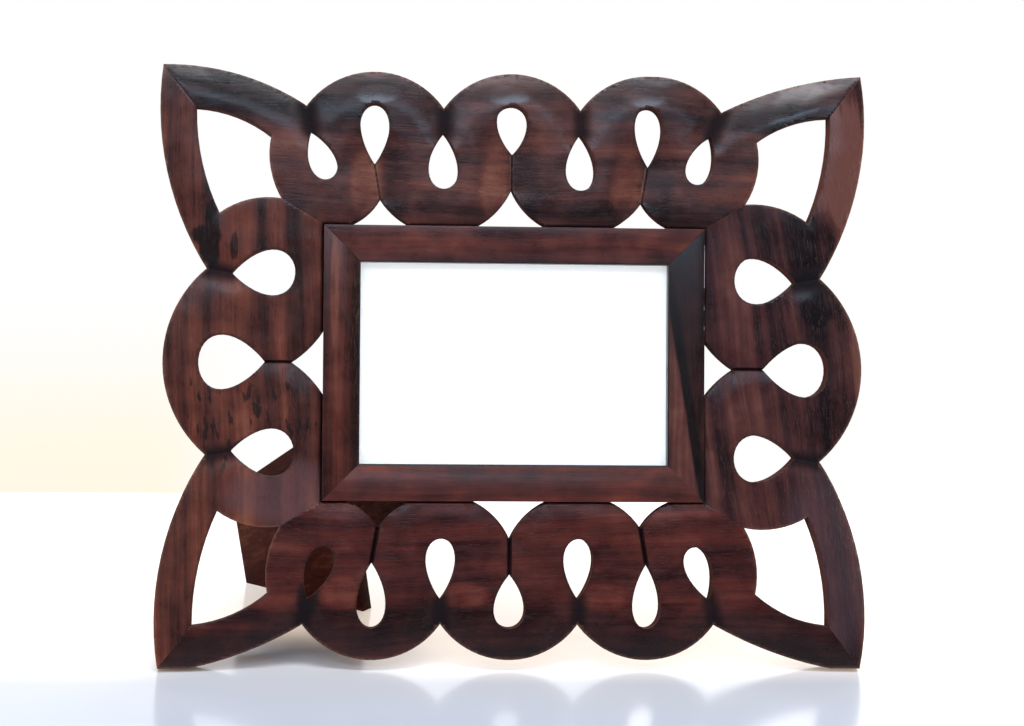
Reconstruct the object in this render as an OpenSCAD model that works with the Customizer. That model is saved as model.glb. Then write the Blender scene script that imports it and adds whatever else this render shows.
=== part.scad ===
// Fretwork picture frame in carved hardwood, standing on a hinged diagonal easel leg.
// In the frame's own plane x runs right, z up and y to the back. The lean is applied last,
// so that the part stands on z = 0 with x to the right and its face towards -y.

/* [Picture] */
// Width of the picture that the frame takes
picture_w = 152.4; // [140:0.1:170]
// Height of the picture
picture_h = 101.6; // [94:0.1:112]
// Lap of the moulding over each edge of the picture
lip = 3.2; // [2:0.1:4]
// Play round the glass, sheets and backing board in the rebate
rebate_play = 0.5; // [0.2:0.1:1]

/* [Moulding] */
// Width of a moulding rail
rail_w = 17.4; // [16:0.1:20]
// Depth of a moulding rail from its crest to its back
rail_d = 16; // [15:0.5:20]
// Drop of the rail's face at its outer edge
rail_outer_drop = 0.9; // [0.5:0.1:2.5]
// Drop of the rail's face at its inner edge
rail_inner_drop = 1.6; // [1:0.1:3.5]
// Height of the rounded face over the line between its two edges
rail_crown = 1; // [0.5:0.1:2]
// Depth of the glass behind the crest of the moulding
glass_setback = 8; // [7:0.1:8.5]

/* [Fretwork boards] */
// Thickness of the fretwork boards
board_t = 12; // [9:0.5:13]
// Depth of the boards' front behind the crest of the moulding
board_setback = 2.5; // [1:0.1:3]
// Height of the top board over the moulding, at its arches
top_board_w = 73.2; // [68:0.1:80]
// Height of the bottom board under the moulding, at its arches
bottom_board_w = 75; // [68:0.1:80]
// Width of the side boards beside the moulding, at their arch
side_board_w = 75.1; // [70:0.1:82]

/* [Serpentine] */
// Depth of the notches between the arches of the top and bottom boards
rail_notch_d = 17; // [14:0.1:20]
// Depth of the notches beside the arch of the side boards
side_notch_d = 20.4; // [17:0.1:23]
// Height of the three-cornered gaps over the moulding
rail_gap_h = 18.2; // [14:0.1:19]
// Length of a lobe's flat on the moulding, on the top and bottom boards
rail_flat = 30; // [26:0.1:34]
// Height of the three-cornered gap beside the moulding
side_gap_h = 15; // [12:0.1:17]
// Length of that gap along the moulding
side_gap_w = 30; // [26:0.1:34]
// Length of a side board's arch from notch to notch
side_span = 88; // [84:0.1:92]
// Distance from the end of a notch to the drop-shaped hole inside it
groove_out = 11.6; // [10:0.1:14]
// Distance from the top of a gap to the drop-shaped hole beyond it
rail_groove_in = 16.4; // [13:0.1:18]
// The same distance on the side boards
side_groove_in = 12.4; // [10:0.1:15]
// Width of the carved strand round the arches
strand_w = 15; // [13:0.1:18]
// Width of the strand between a drop-shaped hole and the moulding
strand_in = 17.7; // [15:0.1:19]
// Width of the drop-shaped holes in the top and bottom boards
rail_drop_w = 13.8; // [11:0.1:16]
// Width of the drop-shaped holes in the side boards' lobes
side_drop_w = 22.4; // [19:0.1:25]
// Width of the drop-shaped hole in the side boards' arch
side_arch_drop_w = 26; // [22:0.1:28]
// Radius of the lobes beside the moulding's corners
corner_r = 28.8; // [28:0.1:31]
// Offset of the pattern along the top and bottom boards, as it was sawn by hand
rail_drift = -1.6; // [-3:0.1:3]
// Offset of the pattern up the right board
right_drift = -1.7; // [-3:0.1:3]
// Extra reach of the right board's pattern
right_out = 1.2; // [0:0.1:2]
// Extra width of the top board's last arch on the right
top_stretch = 2.8; // [0:0.1:4]

/* [Horns] */
// Reach of the four tips beyond the moulding's corners, sideways
horn_out = 76.1; // [72:0.1:82]
// Reach of the top tips above the moulding
top_horn_up = 75; // [72:0.1:82]
// Reach of the bottom tips below the moulding
bottom_horn_down = 79; // [76:0.1:84]
// Distance from the moulding's corner sideways to where a horn springs from the last arch
horn_spring = 7.4; // [5:0.1:10]
// Bow of the left horn's edge on the top board
horn_bow_left = 5.6; // [4:0.1:7]
// Bow of the right horn's edge on the top board
horn_bow_right = 3.8; // [3:0.1:6]
// Bow of a horn's edge on the bottom board
foot_bow = 2.6; // [1.5:0.1:4]
// Bow of a top horn's edge on the side boards
side_bow = 8.9; // [6:0.1:10]
// Bow of a bottom horn's edge on the side boards
foot_side_bow = 9.8; // [7:0.1:12]
// Width of the flat under a bottom tip
foot_flat = 14; // [10:0.1:18]
// Bow of the edges of a horn's hole
hole_bow = 3; // [2:0.1:4]

/* [Carving] */
// Width of the vee grooves where strands meet
groove_w = 3.6; // [2:0.1:5]
// Depth of the vee grooves
groove_d = 2.4; // [1:0.1:4]

/* [Picture sandwich] */
// Thickness of the glass
glass_t = 2; // [1.5:0.1:2.5]
// Thickness of the picture sheet
sheet_t = 0.4; // [0.3:0.1:0.6]
// Thickness of the packing card behind it
card_t = 1.6; // [1:0.1:2]

/* [Turn buttons] */
// Length of a turn button
button_l = 20; // [18:0.5:22]
// Width of a turn button
button_w = 8; // [7:0.1:9]
// Thickness of a turn button
button_t = 1.2; // [0.8:0.1:1.6]
// Radius of the turn buttons' screws
button_screw_r = 1.5; // [1.2:0.1:1.8]
// Place of the top and bottom turn buttons, to the right of the middle
button_x = 32; // [24:0.5:42]

/* [Stand] */
// Lean of the frame from the upright
lean = 15; // [12:0.5:18]
// Angle of the open leg from the back of the frame
swing = 45.3; // [40:0.1:50]
// Slope of the leg along the back, below the level
leg_angle = 34.4; // [32:0.1:37]
// Width of the leg
leg_w = 62; // [56:0.5:66]
// Thickness of the leg
leg_t = 7; // [5:0.5:9]
// The leg's upper corner, in from the moulding's side
leg_from_side = 26.4; // [25.8:0.2:27.2]
// The leg's upper corner, up from the moulding's lower edge
leg_from_foot = 52.8; // [52:0.2:53.6]
// Reach of the foot sideways from the middle of the frame with the leg closed
foot_reach = 170.5; // [165:0.5:176]
// Width of the foot
foot_w = 75.5; // [70:0.5:82]
// Play between the leg's heel and the backing board when the leg is open
heel_play = 0.2; // [0.1:0.05:0.4]
// Wear on the rear edge of the bottom tips, where the frame stands
wear = 0.3; // [0.1:0.05:0.6]

/* [Hinge] */
// Length of the leg's hinge
hinge_l = 24; // [20:0.5:26]
// Width of a hinge leaf from the pin
leaf_w = 11; // [9:0.1:12]
// Thickness of the hinge leaves
leaf_t = 1.1; // [0.8:0.1:1.3]
// Outer radius of the hinge knuckles
knuckle_r = 2.5; // [2.2:0.1:2.8]
// Radius of the hinge pin
pin_r = 1.1; // [0.9:0.05:1.3]
// Distance of the hinge pin's middle from the leg's upper edge
hinge_in = 27; // [24:0.5:30]
// Radius of the hinge screws
hinge_screw_r = 0.9; // [0.7:0.05:1.1]

/* [Hidden] */
$fn = 64;

wood_board = [0.33, 0.16, 0.11];
wood_moulding = [0.38, 0.18, 0.12];
wood_leg = [0.42, 0.22, 0.12];
metal = [0.72, 0.60, 0.36];

// Running clearance of the pins and screws in their bores
run_fit = 0.05;
// Small distance by which a cut runs past the face that it opens
past = 1;
// Large distance that covers the whole frame
wide = 400;

// Half sizes of the opening and of the moulding's outline
open_x = picture_w / 2 - lip;
open_z = picture_h / 2 - lip;
mould_x = open_x + rail_w;
mould_z = open_z + rail_w;
board_back = board_setback + board_t;

// Arches and lobes of the top and bottom boards, measured from the moulding's edge
arches = 3;
pitch = 2 * (mould_x + horn_spring) / arches;
lobe_h = (pow(pitch / 2, 2) + pow(rail_gap_h, 2) - pow(rail_flat / 2, 2)) / (2 * rail_gap_h);
lobe_r = norm([rail_flat / 2, lobe_h]);
corner_h = corner_r - 1.8;
corner_in = 2.9;
// The same for the side boards
side_lobe_z = side_span / 2 - 1.5;
side_lobe_h = (pow(side_lobe_z, 2) + pow(side_gap_h, 2) - pow(side_lobe_z - side_gap_w / 2, 2))
    / (2 * side_gap_h);
side_lobe_r = norm([side_lobe_z - side_gap_w / 2, side_lobe_h]);
side_split = 30;

// Places of the horn hole's corners, from the notches, the tip and the moulding's corner
hole_from_rail_notch = [25.2, -14.4];
hole_from_side_notch = [-5.6, 26];
hole_from_tip = [-15.4, -20];
hole_from_corner = [19.8, 12.2];
// Distance by which the horns' edges run on inside the arches
root = 1.5;

// Hinge line of the leg, on the back of the backing board
hinge_off = knuckle_r + 0.15;
hinge_y = rail_d + hinge_off;
hinge_turn = 90 - leg_angle;
leg_top_x = -(mould_x - leg_from_side);
leg_top_z = -(mould_z - leg_from_foot);
hinge_x = leg_top_x + hinge_in * cos(hinge_turn);
hinge_z = leg_top_z - hinge_in * sin(hinge_turn);

// Height of the frame's middle over the table, and the shift that centres the part over y = 0
tip_z = mould_z + bottom_horn_down;
lift = tip_z * cos(lean) + board_back * sin(lean) - wear;

// Points on the arc from a towards b, which stands `rise` to the right of the line between them.
// The outlines run anticlockwise, so a positive rise bows them outwards.
function arc(a, b, rise, steps = 14) =
    let (half = norm(b - a) / 2,
         r = (half * half + rise * rise) / (2 * rise),
         right = [b[1] - a[1], a[0] - b[0]] / (2 * half),
         middle = (a + b) / 2 + right * (rise - r),
         start = atan2(a[1] - middle[1], a[0] - middle[0]),
         sweep = 4 * atan(rise / half))
    [for (i = [0 : steps - 1])
        middle + norm(a - middle) * [cos(start + sweep * i / steps), sin(start + sweep * i / steps)]];

// Outline of a drop from its point to its round end; fullness 0 gives an ellipse
function drop_outline(point, end, width, fullness = 0.85, steps = 36) =
    let (middle = (point + end) / 2,
         along = (point - end) / 2,
         across = [-along[1], along[0]] / norm(along),
         widest = acos(-fullness / (2 + fullness)),
         half = width / 2 / (sin(widest) * pow(sin(widest / 2), fullness)))
    [for (i = [0 : steps - 1])
        let (t = 360 * (i + 0.5) / steps)
        middle + along * cos(t) + across * half * sin(t) * pow(sin(t / 2), fullness)];

// The crossing of two circles that lies nearer to the moulding
function low_crossing(c1, r1, c2, r2) =
    let (d = norm(c2 - c1),
         a = (r1 * r1 - r2 * r2 + d * d) / (2 * d),
         e = (c2 - c1) / d)
    c1 + e * a + [e[1], -e[0]] * sqrt(r1 * r1 - a * a);

// Corner points in the upper right quarter. A board's width, its tip's reach and both drifts
// pick the quarter, and the other quarters are mirror images. A side board's shift is sideways
// and up.
function rail_notch(board_w, drift) = [arches / 2 * pitch + drift, mould_z + board_w - rail_notch_d];
function side_notch(shift) = [mould_x + side_board_w - side_notch_d, side_span / 2] + shift;
function tip(up) = [mould_x + horn_out, mould_z + up];
function hole_outer(up) = tip(up) + hole_from_tip;
function hole_inner() = [mould_x, mould_z] + hole_from_corner;

function horn_outline(board_w, up, flat, bow, out_bow, rail_drift_here, shift) =
    let (start = rail_notch(board_w, rail_drift_here) - [root, root / 3],
         foot = tip(up) - [flat, 0],
         end = side_notch(shift) - [root / 3, root])
    concat(
        [[mould_x, mould_z]],
        arc(end, tip(up), out_bow),
        flat > 0 ? [tip(up)] : [],
        arc(foot, start, bow),
        [start]);

function horn_hole(board_w, up, shift) =
    let (a = [mould_x, mould_z + board_w - rail_notch_d] + hole_from_rail_notch,
         b = side_notch(shift) + hole_from_side_notch)
    concat(
        arc(a, hole_inner(), -hole_bow, 8),
        arc(hole_inner(), b, -hole_bow, 8),
        arc(b, hole_outer(up), hole_bow, 8),
        arc(hole_outer(up), a, hole_bow, 8));

// Places 2D shapes, drawn as seen from the front, between two depths behind the crest
module plate(front, back)
    translate([0, back, 0]) rotate([90, 0, 0]) linear_extrude(back - front) children();

// Leans the frame back and stands it on the table
module stand() translate([0, centre_y, lift]) rotate([-lean, 0, 0]) children();

// Takes away what would lie below the table
module above_table() {
    difference() {
        children();
        translate([-wide / 2, -wide / 2, -wide]) cube(wide);
    }
}

// Vee groove on the front of a board from one point to another. Its bottom runs a little to one
// side, so that it doesn't meet the cusps of the outline exactly.
aside = 0.15;
module groove(from, to) {
    reach = norm(to - from) + 2 * past;
    translate([from[0], board_setback, from[1]])
        rotate([0, -atan2(to[1] - from[1], to[0] - from[0]), 0])
            translate([-past, 0, 0]) rotate([90, 0, 90]) linear_extrude(reach)
                polygon([[-past, -groove_w / 2 - past], [groove_d, aside], [-past, groove_w / 2 + past]]);
}

// Outlines mirrored left to right and top to bottom, still anticlockwise
function backwards(points) = [for (i = [len(points) - 1 : -1 : 0]) points[i]];
function flip_x(points) = [for (p = backwards(points)) [-p[0], p[1]]];
function flip_z(points) = [for (p = backwards(points)) [p[0], -p[1]]];

// Mitre line from the moulding's corner through the horn and on in a given direction
function mitre(up, on) = [[mould_x, mould_z], hole_inner(), hole_outer(up), tip(up), tip(up) + on];

// Region of the plane that belongs to a top or bottom board, between its mitres
module rail_region(up) {
    right_end = mitre(up, [0, wide]);
    polygon(concat(right_end, flip_x(right_end)));
}

// Region of the plane that belongs to the right board, between its mitres
module side_region() {
    upper = mitre(top_horn_up, [wide, 0]);
    lower = mitre(bottom_horn_down, [wide, 0]);
    polygon(backwards(concat(upper, flip_z(lower))));
}

// Drop-shaped holes of a top or bottom board, and the grooves that run into them
module rail_drops(board_w, drift) {
    for (drop = rail_drop_list(board_w, drift)) polygon(drop_outline(drop[0], drop[1], drop[2]));
}

function rail_gap_top(side) = side == 0 ? rail_gap_h : low_crossing(
    [pitch / 2, lobe_h], lobe_r, [mould_x - corner_in, corner_h], corner_r)[1];
function rail_gap_x(side) = side * low_crossing(
    [pitch / 2, lobe_h], lobe_r, [mould_x - corner_in, corner_h], corner_r)[0];

// Each entry is the point of a drop, its round end, its width and the far end of its groove
function rail_drop_list(board_w, drift, stretch = 0) = concat(
    [for (side = [-1 : 1])
        [[drift + side * pitch, mould_z + rail_gap_top(side) + rail_groove_in],
         [drift + side * pitch, mould_z + board_w - strand_w],
         rail_drop_w + (side == 0 ? 1.2 : 0),
         [drift + rail_gap_x(side), mould_z + rail_gap_top(side)]]],
    [for (side = [-1, 1])
        [[drift + side * pitch / 2, mould_z + board_w - rail_notch_d - groove_out],
         [drift + side * pitch / 2, mould_z + strand_in],
         rail_drop_w + 0.5,
         [drift + side * pitch / 2, mould_z + board_w - rail_notch_d]]],
    [for (side = [-1, 1])
        [[drift + side * (mould_x + corner_tip_out), mould_z + board_w - rail_notch_d - groove_out],
         [drift + side * (mould_x - corner_in - 1), mould_z + strand_in + 4],
         rail_drop_w - 1,
         [drift + side * arches / 2 * pitch + (side > 0 ? stretch : 0),
          mould_z + board_w - rail_notch_d]]]);
corner_tip_out = 5;

// Drop-shaped holes of the right board, listed in the same way
function side_drop_list(shift) = concat(
    [[[mould_x + side_gap_h + side_groove_in, 0] + shift,
      [mould_x + side_board_w - strand_w - 1.2, 0] + shift,
      side_arch_drop_w, [mould_x + side_gap_h, shift[1]]]],
    [for (side = [-1, 1])
        [[mould_x + side_board_w - side_notch_d - groove_out, side * (side_lobe_z - 0.5)] + shift,
         [mould_x + strand_in - 4.3, side * (side_lobe_z + 0.3)] + shift,
         side_drop_w,
         [mould_x + side_board_w - side_notch_d, side * side_span / 2] + shift]]);

module drops(list) {
    for (drop = list) polygon(drop_outline(drop[0], drop[1], drop[2]));
}

module grooves(list) {
    for (drop = list) groove(drop[3], drop[0]);
}

// Arches over the lobes of a top or bottom board
module rail_serpentine(board_w, drift, stretch) {
    arch_r = (pow(pitch / 2, 2) + pow(rail_notch_d, 2)) / (2 * rail_notch_d);
    half = mould_x + corner_r;
    translate([drift, mould_z]) {
        intersection() {
            union() {
                for (side = [-1 : 1]) translate([side * pitch, board_w - arch_r]) circle(arch_r);
                if (stretch > 0) translate([pitch + stretch, board_w - arch_r]) circle(arch_r);
            }
            translate([-half, lobe_h]) square([2 * half, board_w]);
        }
        intersection() {
            union() {
                for (side = [-1, 1]) {
                    translate([side * pitch / 2, lobe_h]) circle(lobe_r);
                    translate([side * (mould_x - corner_in), corner_h]) circle(corner_r);
                }
            }
            translate([-half, 0]) square([2 * half, lobe_h]);
        }
    }
}

// Arch over the two lobes of the right board
module side_serpentine(shift) {
    arch_r = (pow(side_span / 2, 2) + pow(side_notch_d, 2)) / (2 * side_notch_d);
    half = side_span;
    translate([mould_x, shift[1]]) {
        intersection() {
            translate([side_board_w - arch_r + shift[0], 0]) circle(arch_r);
            translate([side_split, -half]) square([side_board_w, 2 * half]);
        }
        intersection() {
            for (side = [-1, 1]) translate([side_lobe_h, side * side_lobe_z]) circle(side_lobe_r);
            translate([0, -half]) square([side_split, 2 * half]);
        }
    }
}

// Outline of a top board, or of a bottom board before it is turned over
module rail_board_outline(board_w, up, flat, bows, out_bow, shift, stretch = 0) {
    difference() {
        intersection() {
            union() {
                rail_serpentine(board_w, rail_drift, stretch);
                polygon(horn_outline(board_w, up, flat, bows[1], out_bow, rail_drift + stretch,
                                     shift));
                polygon(flip_x(horn_outline(board_w, up, flat, bows[0], out_bow, -rail_drift,
                                            [0, 0])));
            }
            rail_region(up);
        }
        polygon(horn_hole(board_w, up, shift));
        polygon(flip_x(horn_hole(board_w, up, [0, 0])));
        drops(rail_drop_list(board_w, rail_drift));
    }
}

// Outline of the right board, or of the left board before it is turned over
module side_board_outline(shift, top_drift, foot_drift, bow) {
    lower_shift = [shift[0], -shift[1]];
    difference() {
        intersection() {
            union() {
                side_serpentine(shift);
                polygon(horn_outline(top_board_w, top_horn_up, 0, bow, side_bow, top_drift, shift));
                polygon(flip_z(horn_outline(bottom_board_w, bottom_horn_down, foot_flat, foot_bow,
                                            foot_side_bow, foot_drift, lower_shift)));
            }
            side_region();
        }
        polygon(horn_hole(top_board_w, top_horn_up, shift));
        polygon(flip_z(horn_hole(bottom_board_w, bottom_horn_down, lower_shift)));
        drops(side_drop_list(shift));
    }
}

module fretwork_top() {
    color(wood_board) stand() difference() {
        plate(board_setback, board_back)
            rail_board_outline(top_board_w, top_horn_up, 0, [horn_bow_left, horn_bow_right],
                               side_bow, [right_out, right_drift], top_stretch);
        grooves(rail_drop_list(top_board_w, rail_drift, top_stretch));
        groove([-mould_x, mould_z], [mould_x, mould_z]);
    }
}

module fretwork_bottom() {
    color(wood_board) above_table() stand() mirror([0, 0, 1]) difference() {
        plate(board_setback, board_back)
            rail_board_outline(bottom_board_w, bottom_horn_down, foot_flat, [foot_bow, foot_bow],
                               foot_side_bow, [right_out, -right_drift]);
        grooves(rail_drop_list(bottom_board_w, rail_drift));
        groove([-mould_x, mould_z], [mould_x, mould_z]);
    }
}

module side_board(shift, top_drift, foot_drift, bow) {
    difference() {
        plate(board_setback, board_back) side_board_outline(shift, top_drift, foot_drift, bow);
        grooves(side_drop_list(shift));
        groove([mould_x, -mould_z], [mould_x, mould_z]);
    }
}

module fretwork_right()
    color(wood_board) above_table() stand()
        side_board([right_out, right_drift], rail_drift + top_stretch, rail_drift, horn_bow_right);

module fretwork_left()
    color(wood_board) above_table() stand() mirror([1, 0, 0])
        side_board([0, 0], -rail_drift, -rail_drift, horn_bow_left);

// Section of a moulding rail: depth behind the crest, and distance out from the frame's middle
module rail_section(outer) {
    inner = outer - rail_w;
    rebate = inner + lip + rebate_play;
    polygon(concat(
        arc([rail_outer_drop, outer], [rail_inner_drop, inner], rail_crown, 16),
        [[rail_inner_drop, inner], [glass_setback, inner], [glass_setback, rebate],
         [rail_d, rebate], [rail_d, outer]]));
}

// Moulding rail along x at the top of the frame, mitred at both ends
module rail(outer, half_l) {
    intersection() {
        translate([-half_l, 0, 0]) rotate([90, 0, 90]) linear_extrude(2 * half_l) rail_section(outer);
        plate(-past, rail_d + past)
            polygon([[half_l, outer], [-half_l, outer],
                     [rail_w - half_l, outer - rail_w], [half_l - rail_w, outer - rail_w]]);
    }
}

// Places a turn button's pivot: how far the rail's outline is from the middle, and the turn
module at_button(outer, along, turn)
    rotate([0, turn, 0]) translate([along, rail_d, outer - button_pivot_in]) children();
button_pivot_in = (rail_w - lip - rebate_play) / 2;
button_end = 4.5;
button_gap = 0.15;
button_screw_l = 9;

module button_pilot(outer, along, turn)
    at_button(outer, along, turn) rotate([90, 0, 0])
        translate([0, 0, -past]) cylinder(r = button_screw_r + run_fit, h = button_screw_l + past);

module drilled_rail(outer, half_l, along, turn) {
    difference() {
        rotate([0, turn, 0]) rail(outer, half_l);
        button_pilot(outer, along, turn);
    }
}

module moulding_top() color(wood_moulding) stand() drilled_rail(mould_z, mould_x, button_x, 0);
module moulding_right() color(wood_moulding) stand() drilled_rail(mould_x, mould_z, 0, 90);
module moulding_bottom() color(wood_moulding) stand() drilled_rail(mould_z, mould_x, -button_x, 180);
module moulding_left() color(wood_moulding) stand() drilled_rail(mould_x, mould_z, 0, -90);

// Flat sheets in the rebate, stacked from the glass to the moulding's back
sheet_front = glass_setback + glass_t;
card_front = sheet_front + sheet_t;
backing_front = card_front + card_t;

module rebate_sheet(front, back) plate(front, back) square([picture_w, picture_h], center = true);

module glass_pane() color([0.85, 0.93, 0.92, 0.35]) stand() rebate_sheet(glass_setback, sheet_front);
module picture_sheet() color("white") stand() rebate_sheet(sheet_front, card_front);
module packing_card() color([0.72, 0.66, 0.56]) stand() rebate_sheet(card_front, backing_front);

module backing_board() {
    color([0.45, 0.30, 0.20]) stand() difference() {
        rebate_sheet(backing_front, rail_d);
        at_hinge() hinge_screw_places() screw_hole(board_screw_l);
    }
}

// The hinge's own frame: x along the pin, y to the back, z up the slope of the closed leg
module at_hinge() translate([hinge_x, hinge_y, hinge_z]) rotate([0, hinge_turn, 0]) children();

// Places the hinge screws' axes on the board, with z out of the wood
hinge_screw_x = hinge_l / 2 - 5;
hinge_screw_z = -leaf_w + 3.6;
board_screw_l = 3;
leg_screw_l = 5;
module hinge_screw_places() {
    for (side = [-1, 1])
        translate([side * hinge_screw_x, -hinge_off, hinge_screw_z]) rotate([-90, 0, 0]) children();
}

screw_head_r = 2 * hinge_screw_r;
module screw_hole(l) translate([0, 0, -l]) cylinder(r = hinge_screw_r + run_fit, h = l + leaf_t + past);
module countersink()
    translate([0, 0, leaf_t - screw_head_r + hinge_screw_r])
        cylinder(r1 = hinge_screw_r + run_fit, r2 = screw_head_r + run_fit + past,
                 h = screw_head_r - hinge_screw_r + past);
module countersunk_screw(l) {
    translate([0, 0, -l]) cylinder(r = hinge_screw_r, h = l + leaf_t);
    translate([0, 0, leaf_t - screw_head_r + hinge_screw_r])
        cylinder(r1 = hinge_screw_r, r2 = screw_head_r, h = screw_head_r - hinge_screw_r);
}

// Hinge leaf with knuckles on the pin: the outer two, or the middle one
knuckle_l = hinge_l / 3;
knuckle_gap = 0.15;
module hinge_leaf(middle) {
    difference() {
        union() {
            translate([-hinge_l / 2, -hinge_off, -leaf_w]) cube([hinge_l, leaf_t, leaf_w]);
            rotate([0, 90, 0]) cylinder(r = knuckle_r, h = hinge_l, center = true);
        }
        hinge_screw_places() {
            screw_hole(past);
            countersink();
        }
        rotate([0, 90, 0]) cylinder(r = pin_r + run_fit, h = hinge_l + 2 * past, center = true);
        knuckle_room(middle);
    }
}

// Room for the other leaf's knuckles
module knuckle_room(middle) {
    room = knuckle_r + 0.3;
    for (side = middle ? [-1, 1] : [0])
        translate([side * knuckle_l, 0, 0])
            cube([knuckle_l + 2 * knuckle_gap, 2 * (hinge_off + past), 2 * room], center = true);
}

module hinge_leaf_board() color(metal) stand() at_hinge() hinge_leaf(false);
module hinge_leaf_leg()
    color(metal) stand() at_hinge() rotate([swing, 0, 0]) mirror([0, 1, 0]) hinge_leaf(true);
module hinge_pin()
    color(metal) stand() at_hinge() rotate([0, 90, 0]) cylinder(r = pin_r, h = hinge_l, center = true);
module hinge_screws_board()
    color(metal) stand() at_hinge() hinge_screw_places() countersunk_screw(board_screw_l);
module hinge_screws_leg()
    color(metal) stand() at_hinge() rotate([swing, 0, 0]) mirror([0, 1, 0])
        hinge_screw_places() countersunk_screw(leg_screw_l);

// A point of the frame's back, in the closed leg's own plane
function in_leg(x, z) = [(x - hinge_x) * cos(hinge_turn) - (z - hinge_z) * sin(hinge_turn),
                         (x - hinge_x) * sin(hinge_turn) + (z - hinge_z) * cos(hinge_turn)];
// The height in that plane at which a line parallel to the leg's edges meets an upright line
function leg_meets(edge, x) = (x - hinge_x - edge * cos(hinge_turn)) / sin(hinge_turn);

// The leg's outline, with its foot left long for the table to cut
module leg_outline() {
    upper = -hinge_in;
    lower = leg_w - hinge_in;
    below = -tip_z - 2 * foot_w;
    polygon([
        [upper, heel_l], [upper, leg_meets(upper, -foot_reach)],
        in_leg(-foot_reach, below), in_leg(foot_w - foot_reach, below),
        [lower, leg_meets(lower, foot_w - foot_reach)], [lower, heel_l]]);
}
heel_l = 3 * (hinge_off + leg_t);

module easel_leg() {
    color(wood_leg) above_table() stand() at_hinge() difference() {
        rotate([swing, 0, 0]) difference() {
            plate(hinge_off, hinge_off + leg_t) leg_outline();
            mirror([0, 1, 0]) hinge_screw_places() screw_hole(leg_screw_l);
        }
        translate([-wide / 2, heel_play - hinge_off - wide, -wide / 2]) cube(wide);
    }
}

// Turn buttons over the edge of the backing board, and the round-headed screws they swivel on
module turn_button(outer, along, turn) {
    long = button_l - button_end - button_w / 2;
    short = button_end - button_w / 2;
    at_button(outer, along, turn) translate([0, button_gap, 0]) rotate([-90, 0, 0]) difference() {
        linear_extrude(button_t) union() {
            translate([-button_w / 2, -short]) square([button_w, long + short]);
            translate([0, long]) circle(button_w / 2);
            translate([0, -short]) circle(button_w / 2);
        }
        translate([0, 0, -past])
            cylinder(r = button_screw_r + run_fit, h = button_t + 2 * past);
    }
}

module turn_button_top() color(metal) stand() turn_button(mould_z, button_x, 0);
module turn_button_right() color(metal) stand() turn_button(mould_x, 0, 90);
module turn_button_bottom() color(metal) stand() turn_button(mould_z, -button_x, 180);
module turn_button_left() color(metal) stand() turn_button(mould_x, 0, -90);

button_head_r = 1.75 * button_screw_r;
button_head_h = button_screw_r;
module button_screw(outer, along, turn) {
    at_button(outer, along, turn) rotate([-90, 0, 0]) {
        translate([0, 0, -button_screw_l])
            cylinder(r = button_screw_r, h = button_screw_l + button_t + 2 * button_gap);
        translate([0, 0, button_t + 2 * button_gap]) cylinder(r = button_head_r, h = button_head_h);
    }
}

module turn_button_screws() {
    color(metal) stand() {
        button_screw(mould_z, button_x, 0);
        button_screw(mould_x, 0, 90);
        button_screw(mould_z, -button_x, 180);
        button_screw(mould_x, 0, -90);
    }
}

// The shift that centres the standing part over y = 0, from its front edge to the leg's foot
function stood(p) = [p[0], p[1] * cos(lean) + p[2] * sin(lean), p[2] * cos(lean) - p[1] * sin(lean) + lift];
function on_leg(x, y, z) = let (q = [x, y * cos(swing) - z * sin(swing), y * sin(swing) + z * cos(swing)])
    stood([hinge_x + q[0] * cos(hinge_turn) + q[2] * sin(hinge_turn), hinge_y + q[1],
           hinge_z - q[0] * sin(hinge_turn) + q[2] * cos(hinge_turn)]);
function on_foot(z) = let (p = in_leg(-foot_reach, z)) on_leg(p[0], hinge_off + leg_t, p[1]);
heel_corner = on_foot(-tip_z / 2);
far_corner = on_foot(-tip_z - foot_w);
foot_share = heel_corner[2] / (heel_corner[2] - far_corner[2]);
back_y = (heel_corner + (far_corner - heel_corner) * foot_share)[1];
front_y = stood([0, board_setback, -tip_z])[1];
centre_y = -(front_y + back_y) / 2;

fretwork_top();
fretwork_bottom();
fretwork_left();
fretwork_right();
moulding_top();
moulding_bottom();
moulding_left();
moulding_right();
glass_pane();
picture_sheet();
packing_card();
backing_board();
easel_leg();
hinge_leaf_board();
hinge_leaf_leg();
hinge_pin();
hinge_screws_board();
hinge_screws_leg();
turn_button_top();
turn_button_bottom();
turn_button_left();
turn_button_right();
turn_button_screws();
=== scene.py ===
import bmesh
import bpy
import math
from mathutils import Matrix, Vector, kdtree, noise


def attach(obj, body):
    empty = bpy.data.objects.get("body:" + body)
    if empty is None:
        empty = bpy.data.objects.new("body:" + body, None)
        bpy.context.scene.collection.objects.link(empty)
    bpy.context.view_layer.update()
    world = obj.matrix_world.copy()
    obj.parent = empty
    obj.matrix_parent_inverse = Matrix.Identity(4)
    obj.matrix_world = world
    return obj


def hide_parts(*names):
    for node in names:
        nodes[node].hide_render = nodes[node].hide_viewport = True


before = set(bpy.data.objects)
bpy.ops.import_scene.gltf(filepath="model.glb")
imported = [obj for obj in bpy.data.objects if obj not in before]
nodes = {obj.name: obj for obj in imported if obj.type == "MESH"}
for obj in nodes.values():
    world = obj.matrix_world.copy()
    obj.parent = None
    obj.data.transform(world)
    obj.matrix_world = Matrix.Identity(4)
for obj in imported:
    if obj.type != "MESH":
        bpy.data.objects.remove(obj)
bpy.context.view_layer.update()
print("packed frame loaded:", len(nodes), "nodes")

# The frame was drawn upright, then leant back on its leg. Carving is easier in its upright axes:
# x along its width, y from its front to its back, z up its height. Lengths are metres.
standing = {"lean": math.radians(15.0), "back": -0.0357399, "lift": 0.142546}
toRoom = (Matrix.Translation((0, standing["back"], standing["lift"]))
          @ Matrix.Rotation(-standing["lean"], 4, "X"))
toFrame = toRoom.inverted()

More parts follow.
